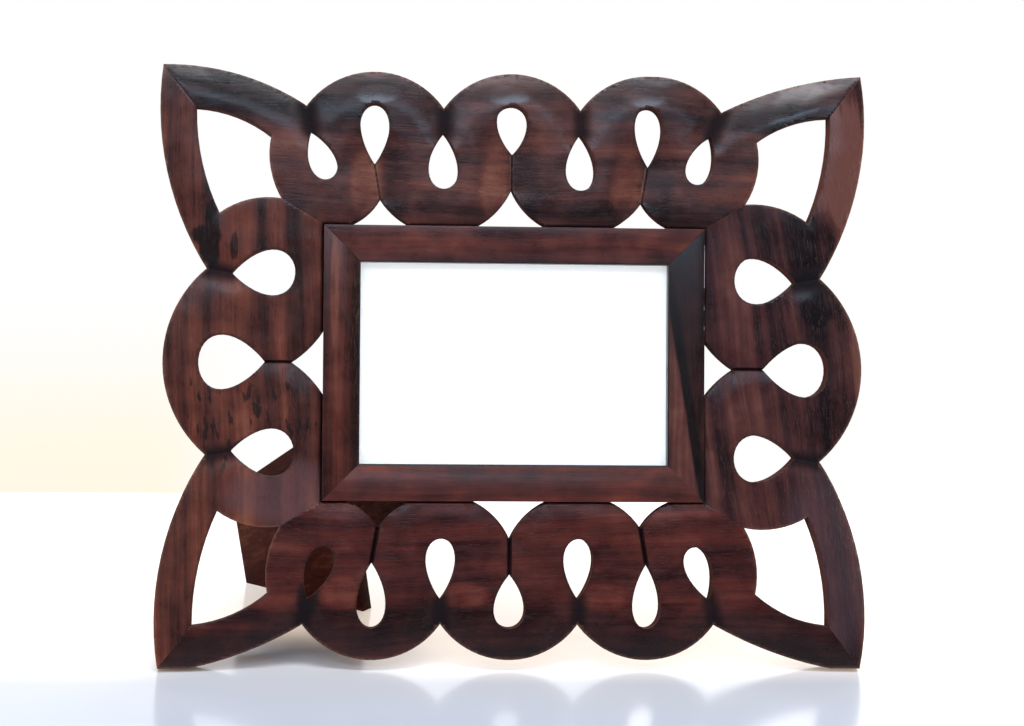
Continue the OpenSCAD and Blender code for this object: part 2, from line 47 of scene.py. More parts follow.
view = {"place": (-0.0855, -1.1295, -0.0343), "yaw": 0.07432, "pitch": 0.03062, "roll": -0.00677,
        "lens": 84.375, "sensor": 36, "farthest": 50}

def makeCamera():
    yaw, pitch, roll = view["yaw"], view["pitch"], view["roll"]
    ahead = Vector((math.sin(yaw) * math.cos(pitch), math.cos(yaw) * math.cos(pitch), math.sin(pitch)))
    level = Vector((math.cos(yaw), -math.sin(yaw), 0))
    down = ahead.cross(level)
    right = level * math.cos(roll) + down * math.sin(roll)
    low = down * math.cos(roll) - level * math.sin(roll)
    turn = Matrix((right, -low, -ahead)).transposed().to_4x4()
    data = bpy.data.cameras.new("camera")
    data.lens = view["lens"]
    data.sensor_width = view["sensor"]
    data.clip_end = view["farthest"]
    camera = bpy.data.objects.new("camera", data)
    camera.matrix_world = toRoom @ Matrix.Translation(view["place"]) @ turn
    bpy.context.scene.collection.objects.link(camera)
    bpy.context.scene.camera = camera

makeCamera()


class Sock:
    # A node's output that Python's own operators work on
    def __init__(self, paint, out):
        self.paint, self.out = paint, out

    def maths(self, operation, a, b=0.0):
        return self.paint.node("ShaderNodeMath", {"operation": operation}, {0: a, 1: b})

    def larger(self, other): return self.maths("MAXIMUM", self, other)
    def __add__(self, other): return self.maths("ADD", self, other)
    def __radd__(self, other): return self.maths("ADD", other, self)
    def __sub__(self, other): return self.maths("SUBTRACT", self, other)
    def __rsub__(self, other): return self.maths("SUBTRACT", other, self)
    def __mul__(self, other): return self.maths("MULTIPLY", self, other)
    def __rmul__(self, other): return self.maths("MULTIPLY", other, self)
    def __pow__(self, other): return self.maths("POWER", self, other)
    def __rpow__(self, other): return self.maths("POWER", other, self)
    def __abs__(self): return self.maths("ABSOLUTE", self)


class Paint:
    # One material, or the room's light, built node by node
    def __init__(self, name, room=False):
        self.made = bpy.data.worlds.new(name) if room else bpy.data.materials.new(name)
        self.made.use_nodes = True
        self.tree = self.made.node_tree
        self.tree.nodes.clear()
        self.end = self.tree.nodes.new("ShaderNodeOutputWorld" if room else "ShaderNodeOutputMaterial")

    def node(self, kind, settings=None, values=None, out=0):
        made = self.tree.nodes.new(kind)
        for key, setting in (settings or {}).items():
            if key == "stops":
                ramp = made.color_ramp
                while len(ramp.elements) < len(setting):
                    ramp.elements.new(0.5)
                for element, (place, colour) in zip(ramp.elements, setting):
                    element.position = place
                    element.color = (*colour, 1)
            else:
                setattr(made, key, setting)
        for key, value in (values or {}).items():
            if isinstance(value, Sock):
                self.tree.links.new(value.out, made.inputs[key])
            elif isinstance(value, tuple) and made.inputs[key].type == "RGBA":
                made.inputs[key].default_value = (*value, 1)
            else:
                made.inputs[key].default_value = value
        return Sock(self, made.outputs[out])

    def outputs(self, first, *names):
        # Several outputs of the node that first comes from
        return [Sock(self, first.out.node.outputs[name]) for name in names]

    def place(self):
        return self.node("ShaderNodeTexCoord", out="Object")

    def attribute(self, name):
        return self.node("ShaderNodeAttribute", {"attribute_name": name}, out="Fac")

    def split(self, vector):
        return self.outputs(self.node("ShaderNodeSeparateXYZ", None, {0: vector}), 0, 1, 2)

    def join(self, x, y, z):
        return self.node("ShaderNodeCombineXYZ", None, {0: x, 1: y, 2: z})

    def grain(self, vector, scale, detail, roughness=0.5):
        return self.node("ShaderNodeTexNoise", None,
                         {"Vector": vector, "Scale": scale, "Detail": detail, "Roughness": roughness})

    def ease(self, value, low, high, first=0.0, last=1.0):
        return self.node("ShaderNodeMapRange", {"interpolation_type": "SMOOTHSTEP"},
                         {"Value": value, "From Min": low, "From Max": high, "To Min": first, "To Max": last})

    def ramp(self, value, stops):
        return self.node("ShaderNodeValToRGB", {"stops": stops}, {0: value})

    def mix(self, share, a, b, how="MIX"):
        return self.node("ShaderNodeMix", {"data_type": "RGBA", "blend_type": how},
                         {0: share, 6: a, 7: b}, out=2)

    def bump(self, height, distance, strength):
        return self.node("ShaderNodeBump", None,
                         {"Height": height, "Distance": distance, "Strength": strength})

    def finish(self, shader):
        self.tree.links.new(shader.out, self.end.inputs["Surface"])
        return self.made


# The four carved boards. "along" is the frame's axis that the grain follows, "shift" picks its place in
# the log, "tone" tints it, and "shade" darkens it along an axis, between two places, by a strength.
# Stains with patches of painted light and shade, and polish, are x, z, half width, half height, strength; one
# below nought is a lighter place.
# A painted sheen, a reflection laid over the wood, is the same with its colour at the end. Colours are linear.
wood = {
    "top": {
        "along": "x", "shift": (0.31, 1.7, 0.2), "slope": 0.03, "tone": (0.80, 0.84, 0.90),
        "bands": 1.0, "dashes": 0.25, "shade": ("z", 0.106, 0.120, 0.19),
        "stainsAndPaintedLight": [(0.132, 0.121, 0.026, 0.012, 0.14)] + [
            # Beside each seam: painted light on the slope to its left, painted shade on the slope to its right
            (x + side, 0.084, 0.009, 0.018, strength) for x in (-0.0634, -0.0019, 0.0611)
            for side, strength in ((-0.007, -0.22), (0.006, 0.14))],
        "polish": [(0.143, 0.121, 0.022, 0.018, 0.35)] + [
            (x, 0.1275, 0.011, 0.005, 0.7) for x in (-0.0658, -0.0028, 0.0620)]},
    "bottom": {
        "along": "x", "shift": (2.10, 0.4, 0.9), "slope": -0.015, "tone": (0.60, 0.40, 0.44),
        # Its shade is painted shade: the lower band of arcs, which faces down, is darkened
        "bands": 0.8, "dashes": 0.25, "shade": ("z", -0.1110, -0.1190, 0.24),
        "stainsAndPaintedLight": [(-0.128, -0.118, 0.012, 0.004, 0.14), (-0.0965, -0.111, 0.006, 0.009, 0.30),
                   # The three places below nought, from here on, are painted light on lit facets beside the
                   # drops
                   (-0.081, -0.108, 0.011, 0.009, -0.28), (-0.024, -0.109, 0.014, 0.007, -0.28),
                   (0.042, -0.110, 0.014, 0.007, -0.18)]},
    "left": {
        "along": "z", "shift": (4.40, 2.2, 1.3), "slope": 0.02, "tone": (0.90, 0.80, 0.74),
        "bands": 1.2, "dashes": 0.4, "blots": (-0.128, -0.027, 0.040, 0.026),
        "stainsAndPaintedLight": [(-0.1457, 0.0592, 0.0080, 0.0050, 0.5), (-0.1430, 0.0630, 0.0035, 0.0120, 0.4),
                   (-0.1440, 0.0510, 0.0050, 0.0080, 0.45), (-0.1325, 0.0540, 0.0020, 0.0075, 0.35)],
        "paintedSheen": [(-0.108, -0.062, 0.028, 0.017, 0.55, (0.090, 0.047, 0.052))]},
    "right": {
        "along": "z", "shift": (6.20, 5.1, 0.6), "slope": 0.16, "tone": (0.53, 0.53, 0.69),
        "bands": 1.5, "dashes": 0.3, "shade": ("x", 0.112, 0.097, 0.12),
        "stainsAndPaintedLight": [(0.145, 0.027, 0.010, 0.007, 0.22), (0.150, 0.042, 0.008, 0.010, 0.16),
                   (0.154, 0.100, 0.016, 0.034, -0.48)],
        "paintedSheen": [(0.150, -0.095, 0.024, 0.050, 0.5, (0.062, 0.038, 0.046))]},
}
woodLook = {
    "colours": [
        (0.12, (0.010, 0.0058, 0.0065)),
        (0.34, (0.030, 0.0110, 0.0105)),
        (0.50, (0.062, 0.0205, 0.0172)),
        (0.66, (0.107, 0.033, 0.023)),
        (0.88, (0.180, 0.068, 0.043)),
    ],
    # How much each kind of grain says in the colour, and how strongly they all do
    "figure": 0.44, "bands": 0.42, "cloud": 0.22, "streaks": 0.12, "hairs": 0.06, "contrast": 2.5,
    "dark": (0.009, 0.006, 0.0065), "arrisWornAndLit": (0.21, 0.10, 0.062), "sawn": (0.13, 0.048, 0.036),
    "creaseDustAndShade": (0.007, 0.0055, 0.0075), "sightEdgeShade": (0.007, 0.0065, 0.009),
    "dashEdge": (0.58, 0.68), "dashDip": (0.57, 0.66), "poreEdge": (0.60, 0.70), "poreInk": 0.3,
    "shadeRagged": 0.01, "thick": (0.60, 0.40), "thinnest": 0.1,  # dashes thicken where the figure is dark
    "roughBy": {"streaks": 0.2, "figure": 0.2, "cloud": 0.25}, "poreRough": 0.15,
    "highStreaks": 0.4, "highHairs": 0.4, "deepPores": 0.9, "deepDashes": 0.6,
    "rough": 0.29, "coat": 0.10, "coatRough": 0.2, "specular": 0.20, "relief": (0.00005, 0.7),
    "rawRough": 0.9, "rawSpecular": 0.03, "rawRelief": (0.00008, 0.7),
    "swing": (5, 13, 9, 0.024),  # the grain's slow waves: along, across and into the wood, and how far
}
# What the knife and saw leave, with painted light and shade: dust and painted shade in the creases, worn
# arrises with a painted highlight, painted shade at the rims of holes, bare sawn walls
cutLook = {
    "creaseShadeEdge": (0.1, 0.9), "creaseShade": 0.9, "creaseRough": 0.35, "coatEdge": (0.05, 0.5),
    "wear": 0.15, "wornHairs": 0.5, "rimShade": 0.75,
    "bare": 0.25, "bareStreaks": 0.4, "bareBands": 0.35, "sawnRough": 0.4,
    "saw": (900, 60), "sawDeep": 1.2, "rawEdge": (0.15, 0.75), "raw": 0.8,
}
# How fine each kind of grain is along, across and into the wood, its detail and roughness,
# and which number of the board's shift goes with each direction
grainKinds = {
    "figure": (10, 34, 22, 3, 0.55, (0, 2, 1)),
    "bands": (3.4, 105, 40, 3, 0.55, (1, 0, 2)),
    "streaks": (15, 430, 180, 4, 0.62, (2, 1, 0)),
    "hairs": (46, 1700, 900, 3, 0.6, (0, 2, 1)),
    "dashes": (75, 880, 600, 2, 0.5, (2, 0, 1)),
    "pores": (170, 2900, 2300, 1, 0.5, (1, 2, 0)),
}
# What makes the edge of a listed spot ragged, and how far from its middle it fades
spotEdges = {
    "stainsAndPaintedLight": ({"figure": 0.8, "streaks": 1.6}, (1.2, 0.4)),
    "paintedSheen": ({"cloud": 1.2}, (1.3, 0.3)),
    "polish": ({"cloud": 1.5}, (1.2, 0.5)),
}
blotGrain = {"along": 110, "across": 340, "inward": 300, "thin": 0.05, "edge": (0.545, 0.61),
             "fade": (1.1, 0.7), "strength": 0.8}
sight = {"x": 0.0730, "z": 0.0476, "dirt": (0.0012, 0.0003), "strength": 0.9}  # the moulding's inner edge

def woodGrain(paint, plan):
    # Back to the frame's upright axes, then u along the grain, v across it and y into it
    turned = paint.node("ShaderNodeMapping", {"vector_type": "POINT"}, {
        "Vector": paint.place(), "Location": tuple(toFrame.translation),
        "Rotation": (standing["lean"], 0, 0)})
    x, y, z = paint.split(turned)
    u, v = (x, z) if plan["along"] == "x" else (z, x)
    shift = plan["shift"]
    v = v + u * plan["slope"]
    along, across, inward, reach = woodLook["swing"]
    swing = paint.grain(paint.join(u * along + shift[0], v * across + shift[1], y * inward + shift[2]), 1, 2)
    v = v + (swing - 0.5) * reach
    g = {"x": x, "y": y, "z": z, "u": u, "v": v}
    for kind, (along, across, inward, detail, roughness, order) in grainKinds.items():
        a, b, c = (shift[i] for i in order)
        g[kind] = paint.grain(paint.join(u * along + a, v * across + b, y * inward + c), 1, detail, roughness)
    g["pores"] = paint.ease(g["pores"], *woodLook["poreEdge"])
    g["cloud"] = paint.grain(paint.join(x * 70 + shift[0], z * 70 + shift[2], y * 70 + shift[1]), 1, 4, 0.6)
    return g

def fromOval(g, x, z, halfX, halfZ):
    # 0 in the middle of an upright oval, 1 on its edge
    return ((g["x"] - x) * (1 / halfX)) ** 2 + ((g["z"] - z) * (1 / halfZ)) ** 2

def spot(paint, g, kind, oval):
    ragged, edge = spotEdges[kind]
    away = fromOval(g, *oval)
    for grain, amount in ragged.items():
        away = away + (g[grain] - 0.5) * amount
    return paint.ease(away, *edge)

def woodPaint(name, plan, carved):
    look, cut = woodLook, cutLook
    paint = Paint(name)
    g = woodGrain(paint, plan)
    def swell(kind, weight):
        # How far one kind of grain lies above or below its middle
        return (g[kind] - 0.5) * weight
    mixture = (swell("figure", look["figure"]) + swell("bands", look["bands"]) * plan["bands"]
               + swell("cloud", look["cloud"]) + swell("streaks", look["streaks"])
               + swell("hairs", look["hairs"]))
    mixture = mixture * look["contrast"] + 0.5
    if "shade" in plan:
        axis, start, end, strength = plan["shade"]
        mixture = mixture - paint.ease(g[axis] + swell("figure", look["shadeRagged"]), start, end) * strength
    # Stains, and patches of painted light and shade
    for *oval, strength in plan.get("stainsAndPaintedLight", ()):
        mixture = mixture - spot(paint, g, "stainsAndPaintedLight", oval) * strength
    colour = paint.ramp(mixture, look["colours"])
    tone = plan["tone"]
    if "wedge" in plan:
        # Lighter sapwood at the rail's inner lower side, with a black line along the heartwood
        wedge = plan["wedge"]
        away = g["x"] - (wedge["x"] - g["z"] * wedge["slope"]) + swell("streaks", wedge["ragged"])
        tone = paint.mix(paint.ease(away, wedge["soft"], -wedge["soft"]), tone, wedge["tone"])
        line = paint.ease(abs(away - wedge["line"]), *wedge["lineEdge"]) * wedge["lineInk"]
        colour = paint.mix(line, colour, look["dark"])
    colour = paint.mix(1.0, colour, tone, "MULTIPLY")
    # Short dark dashes are denser where the figure is dark
    thick = look["thinnest"] + paint.ease(g["figure"], *look["thick"])
    dashes = paint.ease(g["dashes"], *look["dashEdge"]) * thick * plan["dashes"]
    colour = paint.mix(dashes, colour, look["dark"])
    colour = paint.mix(g["pores"] * look["poreInk"], colour, look["dark"])
    if "blots" in plan:
        away = fromOval(g, *plan["blots"])
        blots = paint.grain(paint.join(g["u"] * blotGrain["along"], g["v"] * blotGrain["across"],
                                       g["y"] * blotGrain["inward"]), 1, 2, 0.5)
        blots = paint.ease(blots - away * blotGrain["thin"], *blotGrain["edge"])
        blots = blots * paint.ease(away, *blotGrain["fade"])
        colour = paint.mix(blots * blotGrain["strength"], colour, look["dark"])
    # Painted sheen: the colour of reflected light laid over the wood
    for *oval, strength, plain in plan.get("paintedSheen", ()):
        colour = paint.mix(spot(paint, g, "paintedSheen", oval) * strength, colour, plain)
    by = look["roughBy"]
    rough = look["rough"] + plan.get("dull", 0.0) + swell("streaks", by["streaks"])
    rough = rough + g["pores"] * look["poreRough"] + swell("figure", by["figure"]) + swell("cloud", by["cloud"])
    height = g["streaks"] * look["highStreaks"] + g["hairs"] * look["highHairs"]
    height = height - g["pores"] * look["deepPores"]
    height = height - paint.ease(g["dashes"], *look["dashDip"]) * look["deepDashes"]
    coat = look["coat"]
    if carved:
        crease, arris, rim, sawn = (paint.attribute(n) for n in ("crease", "arris", "rim", "sawn"))
        # Dust and painted shade darken the creases; the arrises are lighter, worn by hands and with a painted
        # highlight
        colour = paint.mix(paint.ease(crease, *cut["creaseShadeEdge"]) * cut["creaseShade"], colour, look["creaseDustAndShade"])
        colour = paint.mix(arris * (cut["wear"] + g["hairs"] * cut["wornHairs"]), colour, look["arrisWornAndLit"])
        bare = cut["bare"] + g["streaks"] * cut["bareStreaks"] + g["bands"] * cut["bareBands"]
        colour = paint.mix(sawn * bare, colour, look["sawn"])
        # Painted shade along the rims of the holes and gaps
        colour = paint.mix(rim * cut["rimShade"] * (1 - sawn), colour, look["dark"])
        # The saw's marks, fine round the hole and long through the board
        around, through = cut["saw"]
        marks = paint.grain(paint.join(g["x"] * around, g["y"] * through, g["z"] * around), 1, 2)
        height = height + sawn * marks * cut["sawDeep"]
        rough = rough + sawn * cut["sawnRough"] + crease * cut["creaseRough"]
        coat = coat * (1 - paint.ease(crease, *cut["coatEdge"]))
    else:
        # Painted shade along the sight edge, where the moulding meets the sheet
        edge = (abs(g["x"]) - sight["x"]).larger(abs(g["z"]) - sight["z"])
        colour = paint.mix(paint.ease(edge, *sight["dirt"]) * sight["strength"], colour, look["sightEdgeShade"])
    if "glue" in plan:
        # A thin line of dried glue at the rail's outer edge, broken here and there
        glue = plan["glue"]
        line = paint.ease(g["x"], *glue["x"])
        for end, fade in ((glue["z"][0], glue["fade"]), (glue["z"][1], -glue["fade"])):
            line = line * paint.ease(g["z"], end, end + fade)
        broken = paint.ease(g["figure"] + swell("cloud", glue["ragged"]), *glue["broken"])
        colour = paint.mix(line * broken * glue["strength"], colour, glue["colour"])
    for *oval, strength in plan.get("polish", ()):
        coat = coat + spot(paint, g, "polish", oval) * strength
    shader = paint.node("ShaderNodeBsdfPrincipled", None, {
        "Base Color": colour, "Roughness": rough, "Coat Weight": coat, "Coat Roughness": look["coatRough"],
        "Specular IOR Level": look["specular"], "Normal": paint.bump(height, *look["relief"])})
    if carved:
        # Sawn walls and the bottoms of creases have no polish
        raw = paint.node("ShaderNodeBsdfPrincipled", None, {
            "Base Color": colour, "Roughness": look["rawRough"], "Specular IOR Level": look["rawSpecular"],
            "Normal": paint.bump(height, *look["rawRelief"])})
        matteCrease = paint.ease(crease, *cut["rawEdge"]) * cut["raw"]
        shader = paint.node("ShaderNodeMixShader", None, {0: sawn.larger(matteCrease), 1: shader, 2: raw})
    return paint.finish(shader)


crispEdge = math.radians(38)  # edges turning more than this stay crisp

def copyNode(name):
    # A CAD node's mesh is loose triangles, so its copy is merged, in the frame's upright axes
    bm = bmesh.new()
    bm.from_mesh(nodes[name].data)
    bmesh.ops.remove_doubles(bm, verts=bm.verts, dist=1e-6)
    bm.transform(toFrame)
    bmesh.ops.dissolve_limit(bm, angle_limit=math.radians(0.5), verts=bm.verts, edges=bm.edges)
    bm.normal_update()
    return bm

def softenEdges(bm, edges, width, segments=2):
    bmesh.ops.bevel(bm, geom=edges, offset=width, offset_type="OFFSET", affect="EDGES", segments=segments,
                    profile=0.5, material=-1, clamp_overlap=True)
    bm.normal_update()

def sharpEdges(bm, degrees):
    # Outer edges that turn more than this
    limit = math.radians(degrees)
    return [e for e in bm.edges if len(e.link_faces) == 2 and e.calc_face_angle(0) > limit and e.is_convex]

def partsOf(faces):
    # The faces with their corners and edges, each named once
    verts = dict.fromkeys(v for f in faces for v in f.verts)
    edges = dict.fromkeys(e for f in faces for e in f.edges)
    return [*verts, *edges, *faces]

def makePiece(name, bm, body, material, node):
    for face in bm.faces:
        face.smooth = True
    for edge in bm.edges:
        edge.smooth = len(edge.link_faces) != 2 or edge.calc_face_angle(0) < crispEdge
    bm.transform(toRoom)
    for v in bm.verts:
        v.co.z = max(v.co.z, 0.0)  # the horns stand flat on the table
    mesh = bpy.data.meshes.new(name)
    bm.to_mesh(mesh)
    bm.free()
    mesh.materials.append(material)
    piece = bpy.data.objects.new(name, mesh)
    bpy.context.scene.collection.objects.link(piece)
    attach(piece, body)
    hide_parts(node)


boards = {"top": "fretwork_top", "bottom": "fretwork_bottom",
          "left": "fretwork_left", "right": "fretwork_right"}
# Each pair is how deep the carving goes at that kind of edge, and how far from the edge it starts.
# Seams run from the gaps to the drops, valleys from the notches to the drops, joints along the moulding.
carving = {
    "front": 0.0025, "back": 0.0145, "vee": (0.0024, 0.00197),  # the vee's depth and half width in the CAD
    "step": 0.0015, "sample": 0.0006, "arris": 0.0004, "deepest": 0.0078,
    # The moulding's outer half width and half height, and how far out from it each kind of edge lies
    "mouldX": 0.0904, "mouldZ": 0.065, "gapTop": 0.0185, "gapSide": 0.019, "gapEnd": 0.004,
    "lobeReach": 0.050, "outerPart": 0.037, "hornReach": 0.030,
    # How close counts as on a line, on a crease's floor, beside the moulding, or on the front
    "onLine": 0.0004, "onFloor": 0.00008, "byMoulding": 0.0012, "slack": 0.001, "pastEnd": 0.002,
    "onFront": 0.0007, "inVee": 0.0023,
    "top": {
        "outside": (0.0032, 0.016), "gap": (0.0018, 0.012), "hornHole": (0.0002, 0.005),
        "lobe": (0.0002, 0.005), "flat": (0.0012, 0.008), "seam": (0.0032, 0.019), "valley": (0.0016, 0.010),
        "seamShade": 0.8, "seamCut": (0.0005, 0.0007), "valleyCut": (0.0003, 0.0012),
        "jointCut": (0.0014, 0.0010)},
    "bottom": {
        "outside": (0.0034, 0.018), "gap": (0.0014, 0.010), "hornHole": (0.0002, 0.005),
        "lobe": (0.0002, 0.005), "flat": (0.0010, 0.008), "seam": (0.0014, 0.012), "valley": (0.0018, 0.011),
        "seamShade": 1.0, "seamCut": (0.0028, 0.0013), "valleyCut": (0.0003, 0.0012),
        "jointCut": (0.0012, 0.0008)},
    "left": {
        "outside": (0.0020, 0.015), "gap": (0.0014, 0.010), "hornHole": (0.0002, 0.005),
        "lobe": (0.0002, 0.005), "flat": (0.0014, 0.010), "seam": (0.0010, 0.008), "valley": (0.0015, 0.011),
        "seamShade": 1.0, "seamCut": (0.0018, 0.0008), "valleyCut": (0.0005, 0.0010),
        "jointCut": (0.0028, 0.0013)},
    "right": {
        "outside": (0.0013, 0.012), "gap": (0.0012, 0.009), "hornHole": (0.0002, 0.005),
        "lobe": (0.0002, 0.005), "flat": (0.0010, 0.008), "seam": (0.0010, 0.008), "valley": (0.0012, 0.010),
        "seamShade": 1.0, "seamCut": (0.0020, 0.0009), "valleyCut": (0.0005, 0.0010),
        "jointCut": (0.0012, 0.0008)},
    # How quickly each edge rolls over, and how tightly two such rolls meet
    "rolls": {"outside": 1.7, "gap": 1.3, "hornHole": 1.3, "lobe": 1.3, "flat": 1.3, "seam": 1.3,
              "valley": 1.3},
    "meeting": 3,
    # How far each mark for the paint reaches from its edge
    "marks": {"valley": 0.0075, "besideCut": 0.0006, "arris": 0.0009, "rim": 0.0007},
    "wobble": {"deep": 0.00010, "fine": 90, "least": 0.0001},
    # The upper strand of the top right horn is shaved flat, sloping up from x, z over a first run
    "facet": {"x": 0.1040, "z": 0.104, "slope": 0.060, "run": 0.010},
    # Shallow scoops left by the gouge and the scraper
    "scoop": {"apart": 0.014, "scatter": 0.7, "curve": 1.2, "tilt": 0.022},
}

def frontRim(bm):
    # Edges where the carved front meets a sawn wall, with the wall's outward direction
    rim = []
    for edge in bm.edges:
        if len(edge.link_faces) != 2:
            continue
        a, b = edge.link_faces
        for front, wall in ((a, b), (b, a)):
            if front.normal.y < -0.3 and abs(wall.normal.y) < 0.2:
                rim.append((edge, wall.normal.copy()))
    return rim

def splitRims(edges):
    # Joins touching rim edges into loops
    loop = {}
    def root(v):
        while loop[v] != v:
            loop[v] = loop[loop[v]]
            v = loop[v]
        return v
    for edge in edges:
        for v in edge.verts:
            loop.setdefault(v, v)
        loop[root(edge.verts[0])] = root(edge.verts[1])
    return {edge: root(edge.verts[0]) for edge in edges}

def samplesOf(edge):
    a, b = edge.verts[0].co, edge.verts[1].co
    count = max(1, int((b - a).length / carving["sample"]))
    return [a.lerp(b, (i + 0.5) / count) for i in range(count)]

def treeOf(points):
    tree = kdtree.KDTree(max(1, len(points)))
    for i, p in enumerate(points):
        tree.insert((p.x, 0, p.z), i)
    if not points:
        tree.insert((9, 9, 9), 0)  # far from everything
    tree.balance()
    return tree

def onCreaseFloor(edge):
    floor = carving["front"] + carving["vee"][0]
    return all(abs(v.co.y - floor) < carving["onFloor"] for v in edge.verts)

def kindOfRim(middle, out, level, inDrop):
    # What an edge of a board belongs to, from where it lies round the moulding
    mx, mz, same, slack = carving["mouldX"], carving["mouldZ"], carving["onLine"], carving["slack"]
    x, z = abs(middle.x), abs(middle.z)
    if abs(z - mz) < same and x < mx + same if level else abs(x - mx) < same and z < mz + same:
        return "flat"
    if inDrop:
        return "drop"
    if level and x < mx - slack and z < mz + carving["gapTop"]:
        return "gap"
    if not level and z < mz - carving["gapEnd"] and x < mx + carving["gapSide"]:
        return "gap"
    sideX, sideZ = math.copysign(1, middle.x), math.copysign(1, middle.z)
    away = Vector((middle.x - sideX * mx, 0, middle.z - sideZ * mz))
    if x > mx and z > mz and out.dot(Vector((sideX, 0, sideZ))) < -0.1:
        return "hornHole"
    if away.length < carving["lobeReach"] and x > mx - slack and z > mz - slack:
        return "lobe"
    return "outside"

def kindOfCrease(middle, level):
    mx, mz, by, past = carving["mouldX"], carving["mouldZ"], carving["byMoulding"], carving["pastEnd"]
    x, z = abs(middle.x), abs(middle.z)
    if abs(z - mz) < by and x < mx + past or abs(x - mx) < by and z < mz + past:
        return "flat"
    return "valley" if (z - mz if level else x - mx) > carving["outerPart"] else "seam"

def readRims(copies):
    # Search trees of points along every kind of edge and crease, all four boards together
    rims = {name: frontRim(bm) for name, bm in copies.items()}
    trees = {name: treeOf([p for edge, _ in rim for p in samplesOf(edge)]) for name, rim in rims.items()}
    found = {kind: [] for kind in ("outside", "gap", "hornHole", "lobe", "seam", "valley", "flat", "drop")}
    for name, rim in rims.items():
        loops = splitRims([edge for edge, _ in rim])
        size = {}
        for edge, root in loops.items():
            size[root] = size.get(root, 0.0) + edge.calc_length()
        outer = max(size, key=size.get)
        level = name in ("top", "bottom")
        others = [trees[other] for other in trees if other != name]
        for edge, out in rim:
            middle = (edge.verts[0].co + edge.verts[1].co) / 2
            # An edge that lies on the next board's edge is only a glued mitre
            if any(tree.find((middle.x, 0, middle.z))[2] < carving["onLine"] for tree in others):
                continue
            found[kindOfRim(middle, out, level, loops[edge] != outer)] += samplesOf(edge)
        for edge in copies[name].edges:
            if onCreaseFloor(edge):
                middle = (edge.verts[0].co + edge.verts[1].co) / 2
                found[kindOfCrease(middle, level)] += samplesOf(edge)
    for kind, points in found.items():
        print("  rim", kind, len(points))
    return {kind: treeOf(points) for kind, points in found.items()}

def cutCreases(bm, half):
    # Clean edges along both sides of every crease, before the grid is cut
    past = carving["pastEnd"]
    lines = [(e.verts[0].co.copy(), e.verts[1].co.copy()) for e in bm.edges if onCreaseFloor(e)]
    for a, b in lines:
        along = Vector((b.x - a.x, 0, b.z - a.z))
        if along.length < carving["slack"]:
            continue
        reach = along.length
        along.normalize()
        across = Vector((-along.z, 0, along.x))
        def beside(v):
            off = Vector((v.co.x - a.x, 0, v.co.z - a.z))
            return abs(off.dot(across)) < carving["vee"][0] and -past < off.dot(along) < reach + past
        for side in (-half, half):
            faces = [f for f in bm.faces if f.normal.y < -0.2 and any(beside(v) for v in f.verts)]
            bmesh.ops.bisect_plane(bm, geom=partsOf(faces), dist=2e-5,
                                   plane_co=a + across * side, plane_no=across)

def cutGrid(bm, step):
    # Cuts the carved front into small pieces, halving the board each time so that each cut stays short
    def cut(faces, axis, low, high):
        if high - low < 1 or not faces:
            return faces
        middle = (low + high) // 2
        at, normal = Vector((0, 0, 0)), Vector((0, 0, 0))
        at[axis] = middle * step
        normal[axis] = 1
        made = bmesh.ops.bisect_plane(bm, geom=partsOf(faces), dist=2e-5, plane_co=at, plane_no=normal)
        under, over = [], []
        for f in made["geom"]:
            if isinstance(f, bmesh.types.BMFace):
                (under if f.calc_center_median()[axis] < at[axis] else over).append(f)
        if high - low < 2:
            return under + over
        return cut(under, axis, low, middle) + cut(over, axis, middle, high)
    faces = [f for f in bm.faces if f.normal.y < -0.3]
    for axis in (0, 2):
        low = math.floor(min(v.co[axis] for f in faces for v in f.verts) / step)
        high = math.ceil(max(v.co[axis] for f in faces for v in f.verts) / step)
        faces = cut(faces, axis, low, high)

def scoops(x, z):
    # Each cell of a loose grid holds one shallow, slightly tilted scoop; the deepest one shows
    plan = carving["scoop"]
    apart, scatter = plan["apart"], plan["scatter"]
    i, j = math.floor(x / apart), math.floor(z / apart)
    deepest = -1.0
    for a in (i - 1, i, i + 1):
        for b in (j - 1, j, j + 1):
            chance = noise.cell_vector(Vector((a * 3.7, b * 5.3, 2.1)))
            dx = x - (a + 0.5 + scatter * (chance.x - 0.5)) * apart
            dz = z - (b + 0.5 + scatter * (chance.y - 0.5)) * apart
            tilt = noise.cell_vector(Vector((b * 2.9, a * 6.1, 7.7)))
            slant = ((tilt.x - 0.5) * dx + (tilt.y - 0.5) * dz) * 2 * plan["tilt"]
            deepest = max(deepest, slant - plan["curve"] * (dx * dx + dz * dz))
    return deepest

def fade(distance, reach):
    return max(0.0, 1 - distance / reach)

def blend(a, b, share):
    return a * (1 - share) + b * share

